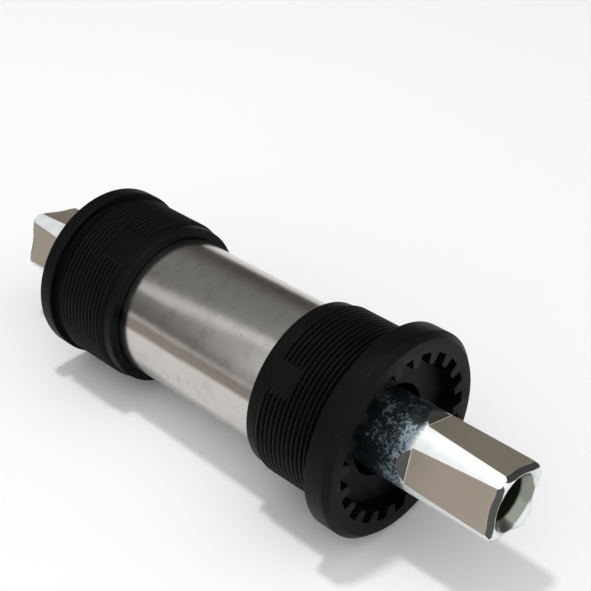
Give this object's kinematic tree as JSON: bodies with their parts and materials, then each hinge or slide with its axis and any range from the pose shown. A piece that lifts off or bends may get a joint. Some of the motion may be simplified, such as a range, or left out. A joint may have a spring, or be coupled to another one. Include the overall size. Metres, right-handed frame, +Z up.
{
  "type": "bicycle bottom bracket",
  "caption": "Square-taper bottom bracket: a sealed steel cartridge on a spindle, with two threaded plastic cups pushed over its ends.",
  "frame": {"origin": "middle of the spindle, on its axis", "axes": "+Y along the spindle towards the left (non-drive) crank, -Y towards the drive side, +Z up, +X forward"},
  "size_m": [0.041, 0.125, 0.041],
  "materials": {
    "cup_plastic": "charcoal black moulded glass-filled plastic, satin",
    "ground_steel": "ground and polished steel tube",
    "spindle_steel": "zinc-plated steel with ground flats",
    "bearing_steel": "polished bearing steel",
    "ball_steel": "lapped bearing balls",
    "cage_steel": "pressed steel",
    "seal_rubber": "black nitrile rubber"
  },
  "bodies": {
    "cartridge": {"cartridge_sleeve": "ground_steel", "drive_outer_ring": "bearing_steel", "drive_outer_seal": "seal_rubber", "drive_inner_seal": "seal_rubber", "left_outer_ring": "bearing_steel", "left_outer_seal": "seal_rubber", "left_inner_seal": "seal_rubber"},
    "spindle": {"spindle": "spindle_steel", "drive_inner_ring": "bearing_steel", "left_inner_ring": "bearing_steel"},
    "drive_cage": {"drive_ball_cage": "cage_steel", "drive_ball_01": "ball_steel", "drive_ball_02": "ball_steel", "drive_ball_03": "ball_steel", "drive_ball_04": "ball_steel", "drive_ball_05": "ball_steel", "drive_ball_06": "ball_steel", "drive_ball_07": "ball_steel", "drive_ball_08": "ball_steel", "drive_ball_09": "ball_steel", "drive_ball_10": "ball_steel", "drive_ball_11": "ball_steel"},
    "left_cage": {"left_ball_cage": "cage_steel", "left_ball_01": "ball_steel", "left_ball_02": "ball_steel", "left_ball_03": "ball_steel", "left_ball_04": "ball_steel", "left_ball_05": "ball_steel", "left_ball_06": "ball_steel", "left_ball_07": "ball_steel", "left_ball_08": "ball_steel", "left_ball_09": "ball_steel", "left_ball_10": "ball_steel", "left_ball_11": "ball_steel"},
    "drive_cup": {"drive_cup": "cup_plastic"},
    "left_cup": {"left_cup": "cup_plastic"}
  },
  "joints": [
    {"name": "spindle_spin", "type": "hinge", "parent": "cartridge", "child": "spindle", "pos_m": [0, 0, 0], "axis": [0, 1, 0], "continuous": true},
    {"name": "drive_cage_spin", "type": "hinge", "parent": "cartridge", "child": "drive_cage", "pos_m": [0, -0.0265, 0], "axis": [0, 1, 0], "continuous": true},
    {"name": "left_cage_spin", "type": "hinge", "parent": "cartridge", "child": "left_cage", "pos_m": [0, 0.0329, 0], "axis": [0, 1, 0], "continuous": true},
    {"name": "drive_cup_slide", "type": "slide", "parent": "cartridge", "child": "drive_cup", "axis": [0, -1, 0], "range_m": [0, 0.048]},
    {"name": "left_cup_slide", "type": "slide", "parent": "cartridge", "child": "left_cup", "axis": [0, 1, 0], "range_m": [0, 0.044]}
  ],
  "couplings": [
    {"joint": "drive_cage_spin", "follows": "spindle_spin", "ratio": 0.4222},
    {"joint": "left_cage_spin", "follows": "spindle_spin", "ratio": 0.4222}
  ]
}
